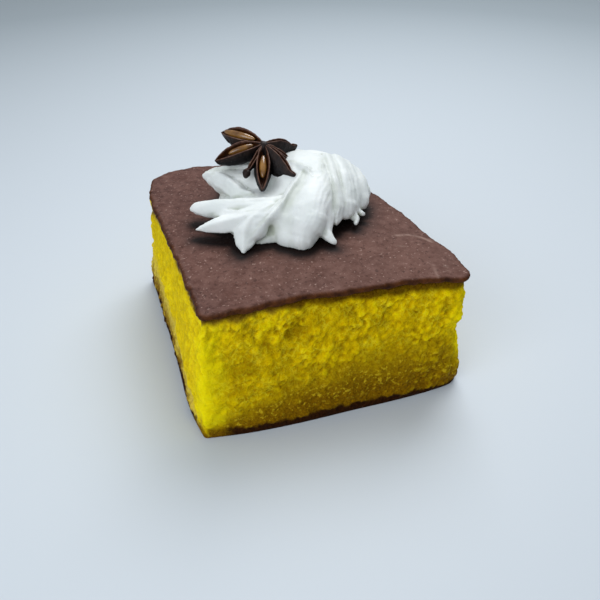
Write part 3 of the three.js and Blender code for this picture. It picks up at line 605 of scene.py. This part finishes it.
# Each ridge: sharpness of its upper and its lower half (1 a knife edge, 2 round), its roll in degrees, and along its
# crest the x, y, z, the half-width, the crest's rise over the widest line, and the depth below that line.
RIDGES = {
    "back_left_edge": (1.15, 2.6, 24, [
        (27.5, 43.6, 49.4, 2.0, 3.0, 7), (24.6, 45.6, 50.1, 2.8, 3.2, 7), (23.2, 48.6, 50.7, 3.0, 3.0, 7),
        (22.1, 52.4, 50.9, 3.0, 3.0, 7), (20.2, 56.6, 50.3, 2.6, 2.6, 5.5), (18.0, 60.2, 49.0, 1.9, 2.0, 3.4),
        (16.9, 61.6, 47.8, 0.7, 0.8, 1.2),
    ]),
    "back_left_plate": (2.6, 2, 0, [
        (36, 47, 51.8, 4, 4, 6), (29.5, 50.6, 51.6, 4, 4, 6), (24.6, 54.2, 51.0, 3.4, 4, 6), (20.6, 58.0, 50.0, 2.2, 3, 4),
    ]),
    "back_left_top": (1.3, 2, 0, [
        (36, 50, 53.0, 3.4, 4, 5), (30.5, 54.0, 52.4, 3.2, 4, 5), (25.0, 57.6, 51.4, 2.8, 4, 5),
        (20.5, 60.4, 50.0, 2.0, 3, 4), (18.2, 61.8, 48.8, 0.9, 1.4, 1.4),
    ]),
    "left_bullet": (1.7, 1.9, 0, [
        (36, 36.6, 49.8, 3.2, 4, 4), (28, 38.0, 49.5, 3.2, 3.6, 4), (21.4, 40.8, 49.0, 3.0, 3.2, 4),
        (16.4, 44.2, 47.9, 2.6, 2.7, 3), (13.2, 46.6, 46.7, 2.2, 2.3, 2.3), (11.2, 48.0, 45.4, 1.5, 1.5, 1.5),
        (10.4, 48.6, 44.3, 0.7, 0.7, 0.7),
    ]),
    "left_middle": (1.15, 2, 0, [
        (33, 33.4, 49.6, 1.5, 2.4, 4), (27.7, 32.6, 49.0, 1.7, 2.4, 4), (24.7, 33.8, 48.6, 1.7, 2.4, 4),
        (21.6, 36.4, 48.0, 1.6, 2.2, 4), (18.4, 39.6, 46.9, 1.4, 1.8, 4), (16.4, 41.8, 45.8, 0.9, 1.2, 2),
    ]),
    "left_wedge": (1.1, 1.5, 38, [
        (30, 32.6, 49.4, 3.0, 3.0, 3.0), (25, 32.4, 48.5, 3.2, 3.0, 3.0), (21.4, 33.2, 47.5, 3.3, 2.8, 2.6),
        (17.8, 34.6, 46.3, 3.0, 2.4, 2.0), (14.4, 36.2, 45.0, 2.3, 1.8, 1.5), (11.8, 37.6, 43.8, 1.4, 1.1, 1.0),
        (10.0, 38.8, 42.7, 0.4, 0.4, 0.4),
    ]),
    "front_wedge": (1.2, 1.8, 0, [
        (32, 33.4, 49.9, 2.6, 3, 4), (27.5, 32.4, 49.0, 2.8, 3, 4), (24.2, 31.6, 47.9, 3.3, 3, 4),
        (22.3, 30.2, 45.8, 3.9, 2.8, 3.4), (21.3, 28.4, 43.6, 3.2, 2.2, 2.6), (20.7, 27.0, 42.0, 2.0, 1.3, 1.5),
        (20.4, 26.2, 41.0, 0.8, 0.6, 0.7),
    ]),
    "front_wedge_right": (1.1, 2, -20, [
        (33.4, 34.2, 50.7, 1.3, 2.4, 4), (30.6, 32.2, 49.7, 1.3, 2.4, 4), (28.2, 31.2, 48.5, 1.4, 2.4, 4),
        (25.6, 30.4, 46.9, 1.5, 2.2, 3), (23.4, 29.4, 44.9, 1.3, 1.8, 2.4), (22.2, 28.4, 43.2, 0.7, 0.8, 1),
    ]),
    "crease_lip": (1.15, 2, 18, [
        (43.2, 42.6, 54.2, 1.5, 2.6, 4), (40.7, 39.0, 53.6, 1.5, 2.4, 4), (37.9, 36.2, 52.7, 1.4, 2.2, 4),
        (35.2, 33.6, 51.3, 1.3, 2.2, 4),
        (33.1, 31.8, 50.4, 1.3, 2.2, 4), (30.6, 30.2, 49.2, 1.3, 2, 4),
        (28.1, 29.4, 47.6, 1.2, 1.9, 3.4), (25.5, 28.7, 45.7, 1.1, 1.6, 2.8), (23.6, 28.2, 43.8, 0.8, 1.2, 1.8),
    ]),
    "centre_lobe": (2, 2, 0, [
        (50.3, 45.7, 54.4, 5, 5, 5), (46.6, 39.0, 54.2, 5.2, 5.2, 5.2), (43.0, 33.2, 53.2, 5.3, 5.3, 5.3),
        (40.0, 28.9, 51.6, 5.3, 5.3, 5.3), (37.9, 26.2, 49.4, 5.1, 5.1, 5.1), (36.2, 24.6, 46.9, 4.8, 4.8, 4.8),
        (35.3, 23.7, 44.7, 4.2, 4.2, 4.2), (34.8, 23.2, 43.2, 3.6, 3.6, 3.6),
    ]),
    "lobe_left": (2, 2, 0, [
        (43.6, 40.8, 52.6, 3.6, 3.6, 3.6), (39.5, 35.1, 51.0, 3.7, 3.7, 3.7), (36.2, 31.6, 49.0, 3.9, 3.9, 3.9),
        (34.3, 29.2, 46.9, 4, 4, 4), (33.7, 27.4, 44.8, 3.8, 3.8, 3.8), (33.4, 25.9, 43.2, 3.2, 3.2, 3.2),
    ]),
    "top_back": (1.6, 2, 0, [
        (45, 53.5, 54.6, 4, 4, 6), (50.5, 52.4, 54.6, 4, 4, 6), (56, 49, 53.2, 3.4, 4, 6), (60, 44, 50.4, 2.6, 3, 4),
    ]),
    "lobe_rib": (1.3, 2, 0, [
        (49.2, 42.2, 55.0, 1.8, 3, 4), (46.0, 36.6, 53.8, 1.8, 3, 4), (43.0, 32.2, 51.9, 1.8, 2.8, 4),
        (40.6, 29.2, 49.6, 1.6, 2.4, 4), (39.2, 27.4, 47.4, 1.0, 1.4, 3),
    ]),
    "right_a": (1.45, 2, 0, [
        (50.4, 45, 55.0, 1.7, 3, 4), (48.3, 40.2, 54.2, 1.7, 3, 4), (47.9, 35.4, 52.6, 1.7, 3, 4),
        (47.4, 31.8, 50.6, 1.7, 3, 4), (46.0, 28.9, 48.4, 1.9, 2.8, 3.4), (44.8, 26.6, 46.2, 2.0, 2.4, 3),
        (44.5, 24.7, 44.2, 1.8, 1.9, 2.2), (45.2, 22.9, 42.6, 1.3, 1.3, 1.3), (45.9, 21.9, 41.4, 0.8, 0.8, 0.8),
    ]),
    "right_b": (1.7, 2, 0, [
        (52.4, 47, 55.4, 2.9, 3.6, 5), (51.6, 42.6, 55.0, 2.9, 3.6, 5), (50.9, 38.2, 53.8, 2.8, 3.6, 5),
        (50.2, 33.8, 51.6, 2.6, 3.4, 5), (49.2, 30.6, 49.0, 2.4, 3.2, 4.5), (48.2, 28.6, 46.4, 2.0, 2.8, 3.4),
        (47.6, 27.5, 44.4, 1.3, 1.6, 2),
    ]),
    "right_c": (1.5, 2, -10, [
        (54.8, 47, 54.8, 3.4, 3.4, 5), (54.2, 42.3, 54.5, 3.4, 3.4, 5), (53.6, 37.4, 53.0, 3.2, 3.4, 5),
        (52.7, 33.4, 50.2, 2.9, 3.2, 5), (51.7, 31.0, 47.4, 2.5, 3, 4), (50.7, 29.9, 44.8, 1.6, 2.2, 2.6),
    ]),
    "right_d": (1.9, 2, 0, [
        (57.8, 47, 53.0, 3.2, 3.4, 5), (57.1, 41.8, 52.6, 3.2, 3.4, 5), (56.5, 37.6, 50.9, 3.0, 3.2, 5),
        (55.8, 34.4, 48.4, 2.7, 3, 5), (54.9, 32.4, 45.9, 2.2, 2.6, 3.4), (54.1, 31.2, 44.2, 1.4, 1.7, 2),
    ]),
    "right_e": (1.5, 2, -8, [
        (60.2, 46, 51.0, 2.9, 3.2, 5), (59.6, 40.6, 50.6, 2.9, 3.2, 5), (59.1, 37.4, 48.9, 2.7, 3, 5),
        (58.5, 35.2, 46.6, 2.3, 2.6, 4), (57.6, 33.9, 44.8, 1.5, 1.8, 2.4),
    ]),
    "right_f": (1.9, 2, 0, [
        (61.4, 45, 48.8, 2.4, 3.2, 5), (61.3, 40.0, 48.2, 2.4, 3.0, 5), (61.1, 38.2, 46.2, 2.0, 2.6, 4),
        (60.5, 37.2, 44.2, 1.3, 1.8, 2),
    ]),
    "drop_low": (1.5, 1.8, 0, [
        (53.6, 33.6, 44.6, 1.6, 1.6, 1.6), (54.9, 31.6, 43.9, 1.4, 1.4, 1.4), (55.4, 30.0, 43.0, 1.1, 1.1, 1.1),
        (54.6, 28.6, 41.9, 0.6, 0.6, 0.6),
    ]),
    "drop_right": (1.5, 1.8, 0, [
        (56, 34.4, 44.6, 1.5, 1.5, 1.5), (57.2, 32.8, 44.0, 1.2, 1.2, 1.2), (58.2, 32.0, 43.2, 0.9, 0.9, 0.9),
        (59.0, 31.8, 42.6, 0.5, 0.5, 0.5),
    ]),
    "top_curl": (1.3, 2, 0, [
        (39.6, 48.6, 54.0, 1.6, 2.4, 3), (41.6, 46.6, 55.0, 1.6, 2.4, 3), (43.2, 43.4, 55.4, 1.5, 2.2, 3),
        (44.6, 40.6, 55.0, 1.4, 2.0, 3), (44.4, 37.8, 54.0, 1.2, 1.6, 3), (42.6, 36.0, 53.2, 0.8, 1, 2),
    ]),
}
FAR_ANGLES = [-8, 15, 38, 61, 84, 107, 130]
# Turn, distance from the middle, height, half-width, rise and drop along each far ridge.
FAR_PROFILE = [
    (26, 5, 13.2, 3.8, 4), (15.6, 12.4, 11.8, 4.4, 4.6), (5.2, 18.9, 8.0, 4.5, 4.2), (0, 22.3, 4.4, 3.1, 2.8),
    (-1, 24.0, 2.1, 1.3, 1.1),
]
MELT = {"centre_lobe": 1.8, "lobe_left": 1.6, "right_a": 0.6, "right_c": 0.5, "right_e": 0.5}  # mm; 0.2 for the others
# place, reach and depth of hollows
DENTS = [
    ((33.8, 43.8, 50.5), 3.2, 3.4),
    ((46.0, 38.8, 54.6), 1.7, 1.6),
    ((29.6, 29.6, 45.2), 2.6, 0.9),
    ((29.0, 46.0, 50.6), 3.0, 1.4),
]


def far_ridges():
    """The rosette's ridges on the side away from the camera."""
    runs = []
    for angle in FAR_ANGLES:
        run = []
        for turn, r, z, w, u in FAR_PROFILE:
            a = math.radians(angle + turn)
            run.append((41 + r * math.cos(a), 51 + r * math.sin(a), 40 + z, w, u, u))
        runs.append((1.2, 2, 0, run))
    return runs


def unit(v):
    return v / np.linalg.norm(v, axis=-1, keepdims=True)


def ridge_distance(grid, spec):
    """Distance to one ridge, from the nearest point of its core, which runs below the crest."""
    upper, lower, roll, run = spec
    steps = 6 * (len(run) - 1)
    line = curve_points(run, steps)
    line[:, 3:] = np.maximum(line[:, 3:], 0.3)
    tangent = unit(np.gradient(line[:, :3], axis=0))
    side = unit(np.stack([-tangent[:, 1], tangent[:, 0], 0 * tangent[:, 0]], 1))
    up = np.cross(tangent, side)
    turn = math.radians(roll)
    side, up = side * math.cos(turn) - up * math.sin(turn), up * math.cos(turn) + side * math.sin(turn)
    core = line[:, :3] - up * line[:, 4:5]
    nearest = np.full(len(grid), 1e9)
    where = np.zeros(len(grid))
    for n in range(steps):
        a, ab = core[n], core[n + 1] - core[n]
        t = np.clip((grid - a) @ ab / max(ab @ ab, 1e-9), 0, 1)
        d = np.linalg.norm(grid - a - t[:, None] * ab, axis=1)
        closer = d < nearest
        nearest = np.where(closer, d, nearest)
        where = np.where(closer, n + t, where)
    low = np.minimum(where.astype(int), steps - 1)
    share = (where - low)[:, None]
    at = lambda values: values[low] * (1 - share) + values[low + 1] * share
    off = grid - at(core)
    w, rise, drop = at(line[:, 3:]).T
    s = (off * at(side)).sum(1) / w
    fine_lines = 0.11 * ease(0.5 + 0.9 * noise(grid, 5, 104))
    grooves = fine_lines * np.cos(5.5 * s * w + 3.5 * noise(grid, 3.5, 103))
    u = (off * at(up)).sum(1)
    along = np.abs((off * at(tangent)).sum(1)) / w
    along = np.where((where <= 0) | (where >= steps), along, 0)
    high = (np.abs(s) ** upper + np.abs(u / rise) ** upper) ** (1 / upper)
    deep = (np.abs(s) ** lower + np.abs(u / drop) ** lower) ** (1 / lower)
    f = np.hypot(np.where(u > 0, high, deep), along)
    return (f - 1) * np.minimum(w, np.where(u > 0, rise, drop)) * 0.85 + grooves


def melted(a, b, melt):
    h = np.maximum(melt - np.abs(a - b), 0) / melt
    return np.minimum(a, b) - h * h * melt / 4


def cream_field(low, size, cell):
    axes = [low[k] + cell * np.arange(size[k]) for k in range(3)]
    x, y, z = np.meshgrid(*axes, indexing="ij")
    grid = np.stack([x.ravel(), y.ravel(), z.ravel()], 1)
    d = np.full(len(grid), 3.0)
    for at, half in MOUNDS:
        d = melted(d, (np.linalg.norm((grid - at) / half, axis=1) - 1) * min(half), 1.0)
    for name, spec in [*RIDGES.items(), *enumerate(far_ridges())]:
        points = np.asarray(spec[3], float)
        reach = points[:, 3:].max() + 2
        near = np.all((grid > points[:, :3].min(0) - reach * 1.7) & (grid < points[:, :3].max(0) + reach), axis=1)
        near = np.flatnonzero(near & (d > -2.5))
        d[near] = melted(d[near], ridge_distance(grid[near], spec), MELT.get(name, 0.15))
    for at, reach, depth in DENTS:
        away = np.linalg.norm(grid - at, axis=1) / reach
        d += depth * np.exp(-2 * away**2)
    d += 0.12 * noise(grid, 2.4, 101) + 0.06 * noise(grid, 1.1, 102)
    d = np.maximum(d, CREAM_BASE - grid[:, 2])
    return d.reshape(size)


def surface_net(values, low, cell):
    """The surface where values are zero: one point a crossed cell, and quads round each crossed lattice edge."""
    inside = values < 0
    shape = tuple(n - 1 for n in values.shape)
    total = np.zeros((*shape, 3))
    crossed = np.zeros(shape)
    corner = [(a, b, c) for a in (0, 1) for b in (0, 1) for c in (0, 1)]

    def at(array, c):
        return array[c[0] : c[0] + shape[0], c[1] : c[1] + shape[1], c[2] : c[2] + shape[2]]

    for c in corner:
        for axis in range(3):
            if c[axis]:
                continue
            d = tuple(v + (n == axis) for n, v in enumerate(c))
            va, vb = at(values, c), at(values, d)
            hit = (va < 0) != (vb < 0)
            t = np.where(hit, va / np.where(hit, va - vb, 1), 0)
            for k in range(3):
                total[..., k] += np.where(hit, c[k] + (t if k == axis else 0), 0)
            crossed += hit
    active = crossed > 0
    index = np.full(shape, -1, np.int64)
    index[active] = np.arange(active.sum())
    points = (np.argwhere(active) + total[active] / crossed[active][:, None]) * cell + np.asarray(low)
    quads = []
    for axis in range(3):
        u, v = (axis + 1) % 3, (axis + 2) % 3
        a = np.take(inside, range(0, inside.shape[axis] - 1), axis)
        b = np.take(inside, range(1, inside.shape[axis]), axis)
        where = np.argwhere(a != b)
        where = where[(where[:, u] > 0) & (where[:, v] > 0) & (where[:, u] < shape[u]) & (where[:, v] < shape[v])]
        du, dv = np.eye(3, dtype=int)[u], np.eye(3, dtype=int)[v]
        ring = [index[tuple((where - s).T)] for s in (0 * du, du, du + dv, dv)]
        turned = a[tuple(where.T)]
        quad = np.stack(ring, 1)
        quads.append(np.where(turned[:, None], quad, quad[:, ::-1]))
    return points, np.vstack(quads)


def relaxed(points, quads, rounds, keep):
    """A few rounds of averaging with the neighbours, to take out the lattice's steps; keep marks what stays."""
    edges = np.vstack([quads[:, [a, (a + 1) % 4]] for a in range(4)])
    degree = np.bincount(edges.ravel(), minlength=len(points))[:, None]
    for _ in range(rounds):
        total = np.zeros_like(points)
        for k in range(3):
            total[:, k] = np.bincount(edges[:, 0], points[edges[:, 1], k], len(points))
            total[:, k] += np.bincount(edges[:, 1], points[edges[:, 0], k], len(points))
        moved = points + 0.5 * (total / degree - points)
        points = np.where(keep[:, None], points, moved)
    return points


def sampled(values, low, cell, p):
    """Trilinear values of a lattice at points."""
    q = np.clip((p - low) / cell, 0, np.array(values.shape) - 1.001)
    i = q.astype(int)
    f = q - i
    total = 0
    for c in np.ndindex(2, 2, 2):
        weight = np.prod(np.where(np.array(c), f, 1 - f), axis=1)
        total = total + weight * values[tuple((i + c).T)]
    return total


def build_cream():
    low = np.array([4.0, 14.0, CREAM_BASE - 1.2])
    high = np.array([70.0, 80.0, 60.0])
    size = tuple(np.ceil((high - low) / CREAM_CELL).astype(int) + 1)
    field = cream_field(low, size, CREAM_CELL)
    points, quads = surface_net(field, low, CREAM_CELL)
    points = relaxed(points, quads, 1, points[:, 2] < CREAM_BASE + 0.3)
    step = 0.4
    slope = [sampled(field, low, CREAM_CELL, points + step * e) - sampled(field, low, CREAM_CELL, points - step * e) for e in np.eye(3)]
    out = unit(np.stack(slope, 1))
    near = sampled(field, low, CREAM_CELL, points + 1.0 * out) / 1.0
    wide = sampled(field, low, CREAM_CELL, points + 2.4 * out) / 2.4
    # painted shade: the more enclosed a point is, the darker its colour in the creases
    crease_shade = np.clip(1 - 0.5 * near - 0.5 * wide, 0, 1)
    return make_piece("piped_cream", points, quads, cream_material(), {"crease_shade": crease_shade})


# ---- star anise ----------------------------------------------------------------------------
STAR_CENTRE = np.array([34.8, 53.4, 58.7])
STAR_TURN = math.radians(-19)
STAR_AXIS = Vector((0.08, -0.22, 0.97))
# Direction (x right, y away, z up), length, depth, half-width, half-opening, roll in degrees, hump, seed. The seed is
# None, or its place along the follicle, its half-length as a share of the length, and its half-width as one of the opening.
CARPELS = [
    ((-0.865, 0.5, 0.02), 15.6, 7, 2.8, 1.7, -24, 2, (0.53, 0.36, 0.66)),
    ((-0.95, -0.2, -0.26), 15.4, 5.6, 2.7, 1.6, -14, 1.8, (0.45, 0.25, 0.6)),
    ((-0.36, -0.69, -0.36), 11.8, 2, 0.9, 0.2, 0, 0, None),
    ((0, -0.86, -0.5), 16, 5.2, 2.7, 1.6, 0, 1, (0.5, 0.24, 0.66)),
    ((0.625, -0.66, -0.44), 14.9, 6.4, 2.3, 0.4, -14, 1.8, None),
    ((0.64, -0.04, -0.5), 12.6, 5.2, 2.1, 0.3, 0, 1.4, None),
    ((0.577, 0.47, -0.3), 13.4, 5.6, 2.3, 0.4, 0, 2, None),
    ((0.05, 0.79, -0.62), 12.5, 5.2, 2.2, 0.4, 0, 1.2, None),
]
KNOB = 1.3
SECTIONS = 34


def carpel_axes(spec):
    turn = Matrix.Rotation(STAR_TURN, 3, "Z")
    along = Vector(spec[0]).normalized()
    lips = (STAR_AXIS - along * along.dot(STAR_AXIS)).normalized()
    lips = Matrix.Rotation(math.radians(spec[5]), 3, along) @ lips
    return [np.array(turn @ v) for v in (along, along.cross(lips), lips)]


def carpel(spec, seed):
    """A boat-shaped follicle: rows of points over its length, each one closed section, with a mask for lips and inside."""
    _, length, depth, width, opening, _, hump, _ = spec
    along, across, lips = carpel_axes(spec)
    outer = [(1.0, 0.02), (1.14, -0.05), (0, 0), (0, 0), (0, 0), (0, 0), (0, 0), (0, 0)]
    rows, lip_mask, inside_mask = [], [], []
    for s in range(1, SECTIONS):
        t = s / SECTIONS
        belly = math.sin(math.pi * t**0.85) ** 0.75
        w = width * belly
        d = depth * belly**0.62
        o = opening * math.sin(math.pi * min(max(t * 1.1 - 0.05, 0), 1)) ** 0.8 + 0.12
        g = min(0.62 * d, 0.35 + 1.5 * o)
        top = hump * math.sin(math.pi * t) - 0.3 * t * t + 1.5 * max(0, t - 0.82) / 0.18 * (not spec[7])
        lip = min(0.32, 0.5 * w)
        half = [(o, 0.05), (o + lip * 0.6, 0.1), (o + lip, -0.08)]
        angles = np.linspace(0.5, math.pi / 2, 9)[1:]
        start = max(o + lip, 0.75 * w)
        half += [(max(w, o + lip * 1.1) * math.cos(a - 0.5) ** 0.8 if a < 1.45 else 0.16 * w, -d * math.sin(a) ** 1.3 + 0.02) for a in angles[:-1]]
        half = [(start * 1.0, b) if 2.5 < n < 3.5 else (a, b) for n, (a, b) in enumerate(half)]
        inner = [(0.86 * o, -0.18 * g), (0.74 * o, -0.5 * g), (0.5 * o, -0.82 * g)]
        section = [(-a, b) for a, b in half] + [(0, -d)] + list(reversed(half))
        section += inner + [(0, -g)] + [(-a, b) for a, b in reversed(inner)]
        n_half = len(half)
        tags = [2, 2, 1] + [0] * (n_half - 3)
        marks = tags + [0] + tags[::-1] + [3] * 7
        rows.append([STAR_CENTRE + along * t * length + across * a + lips * (top + b) for a, b in section])
        lip_mask.append([{2: 1.0, 1: 0.15}.get(m, 0.0) for m in marks])
        inside_mask.append([1.0 if m == 3 else 0.0 for m in marks])
    points = np.array(rows)
    count = points.shape[1]
    flat = points.reshape(-1, 3)
    wrinkle = 0.14 * noise(flat, 1.1, seed) + 0.1 * noise(flat * (1, 1, 1), 0.55, seed + 1)
    outwards = flat - points.mean(1).repeat(count, 0)
    outwards /= np.linalg.norm(outwards, axis=1, keepdims=True) + 1e-9
    hull = 1 - np.array(inside_mask).ravel()
    flat = flat + outwards * (wrinkle * hull)[:, None]
    root = STAR_CENTRE - along * 0.6 - lips * 1.0
    tip = STAR_CENTRE + along * length - lips * 0.3
    points = np.vstack([flat, root, tip])
    faces = close_rings(SECTIONS - 1, count, len(flat), len(flat) + 1)
    lip_values = np.concatenate([np.array(lip_mask).ravel(), [0, 0.2]])
    return points, faces, lip_values, np.concatenate([np.array(inside_mask).ravel(), [0, 0]])


def ball(at, axes, half, seed, rough=0.0, rows=14, around=20):
    """A rounded lump with the given axes and half-sizes."""
    v = (np.arange(1, rows) * math.pi / rows)[:, None]
    u = (np.arange(around) * 2 * math.pi / around)[None, :]
    unit = np.stack([np.cos(v) + 0 * u, np.sin(v) * np.cos(u), np.sin(v) * np.sin(u)], -1).reshape(-1, 3)
    unit = np.vstack([unit, [1, 0, 0], [-1, 0, 0]])
    points = at + (unit * half) @ np.array(axes)
    points = points + (points - at) * (rough * noise(points, 0.9, seed))[:, None]
    n = len(unit) - 2
    return points, close_rings(rows - 1, around, n, n + 1)


def joined(parts):
    """Several (points, faces, mask, ...) as one."""
    points, faces, masks, start = [], [], [], 0
    for part in parts:
        points.append(part[0])
        faces.append(part[1] + start)
        masks.append(part[2:])
        start += len(part[0])
    return np.vstack(points), np.vstack(faces), [np.concatenate(m) for m in zip(*masks)]


def build_star():
    parts = [carpel(spec, 200 + 10 * n) for n, spec in enumerate(CARPELS)]
    lumps = [ball(STAR_CENTRE - (0, 0, 1.6), np.eye(3), (1.7, 1.7, 2.2), 290, 0.12)]
    stalk = CARPELS[2]
    along = carpel_axes(stalk)[0]
    lumps.append(ball(STAR_CENTRE + along * (stalk[1] - 0.6) - (0, 0, 0.6), np.eye(3), (KNOB,) * 3, 291, 0.25))
    parts += [(p, f, np.full(len(p), 0.1), np.zeros(len(p))) for p, f in lumps]
    points, faces, (lip, inside) = joined(parts)
    husk = make_piece("anise_husk", points, faces, husk_material(), {"lip": lip, "inside": inside})
    seeds = []
    for n, spec in enumerate(CARPELS):
        if spec[7]:
            along, across, lips = carpel_axes(spec)
            place, share, girth = spec[7]
            at = STAR_CENTRE + along * place * spec[1] + lips * (spec[6] - 1.15)
            half = (share * spec[1], girth * spec[4], 1.1)
            seeds.append(ball(at, [along, across, lips], half, 300 + n))
    points, faces, _ = joined([(p, f, np.zeros(len(p))) for p, f in seeds])
    return husk, make_piece("anise_seeds", points, faces, seed_material())


# ---- the whole -----------------------------------------------------------------------------
crumb = build_crumb()
cream = build_cream()
skin = build_skin(np.array([v.co for v in cream.data.vertices]) / MM + MIDDLE)
husk, seeds = build_star()
for piece, node in ((crumb, "sponge"), (skin, "sponge"), (cream, "cream"), (husk, "star_anise"), (seeds, "star_anise")):
    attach(piece, "root")
    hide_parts(node)


def build_floor():
    half = 4000
    n = 24
    x, y = np.meshgrid(np.linspace(-half, half, n), np.linspace(-half, half, n), indexing="ij")
    points = np.stack([x.ravel(), y.ravel(), np.zeros(n * n)], 1) + MIDDLE
    i = (np.arange(n - 1)[:, None] * n + np.arange(n - 1)[None]).ravel()
    return make_piece("floor", points, np.stack([i, i + n, i + n + 1, i + 1], 1), floor_material())


floor = build_floor()
